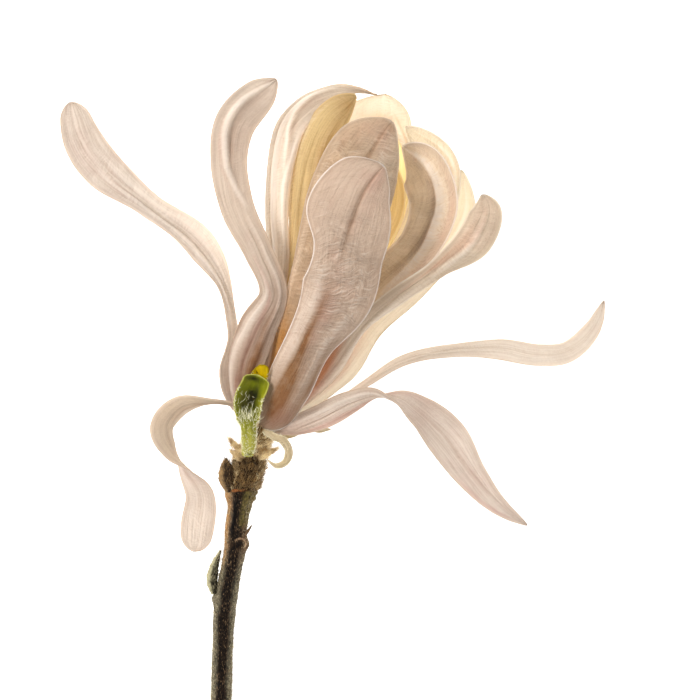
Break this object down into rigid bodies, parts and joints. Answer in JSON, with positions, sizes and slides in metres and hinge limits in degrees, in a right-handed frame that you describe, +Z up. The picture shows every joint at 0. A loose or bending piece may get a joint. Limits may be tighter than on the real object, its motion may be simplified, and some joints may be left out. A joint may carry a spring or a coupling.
{
  "type": "magnolia branch",
  "caption": "Cut flowering magnolia branch lying flat, with a large open flower of strap-shaped tepals, side buds and an unfolding leaf on a dark woody twig.",
  "frame": {"origin": "on the surface that the branch lies on, under the middle of its outline", "axes": "+Z up from that surface; +Y along the branch, from the cut end of the twig towards the top of the flower; +X to the right as seen from above"},
  "size_m": [0.1116, 0.1315, 0.0365],
  "materials": {
    "tepal": "matt petal skin, cream with a pink flush and fine veins",
    "tepal_inner": "matt petal skin, golden where light comes through",
    "bark": "dark brown bark with fine cracks and short grey down",
    "stalk": "pale green skin under long silky hairs",
    "bud": "dense silver-brown silky hair",
    "sheath": "pale green hood with long white hairs",
    "leaf": "yellow-green folded leaf, slightly glossy",
    "scale": "brown-cream scale with silky hairs",
    "bract": "cream-green papery strap",
    "stamen": "cream filament",
    "carpel": "soft green, slightly waxy"
  },
  "bodies": {
    "root": {"twig": "bark", "flower_stalk": "stalk", "lateral_bud_upper": "bud", "lateral_bud_lower": "bud", "leaf_sheath": "sheath", "young_leaf": "leaf", "bud_scale_upper_left": "scale", "bud_scale_lower_left": "scale", "bud_scale_right": "scale", "curled_bract": "bract", "bract_behind": "bract", "stamens": "stamen", "carpels": "carpel", "tepal_front": "tepal", "tepal_upper_front": "tepal", "tepal_left_upright": "tepal", "tepal_left_droop": "tepal", "tepal_far_left": "tepal", "tepal_right_spread": "tepal", "tepal_right_droop": "tepal", "tepal_upper_left": "tepal", "tepal_inner_left": "tepal_inner", "tepal_back": "tepal", "tepal_right_crescent": "tepal", "tepal_right_back": "tepal", "tepal_far_right_back": "tepal", "tepal_right_hook": "tepal", "tepal_right_lower": "tepal_inner", "tepal_inner_right": "tepal_inner", "tepal_inner_heart": "tepal_inner"}
  },
  "joints": []
}
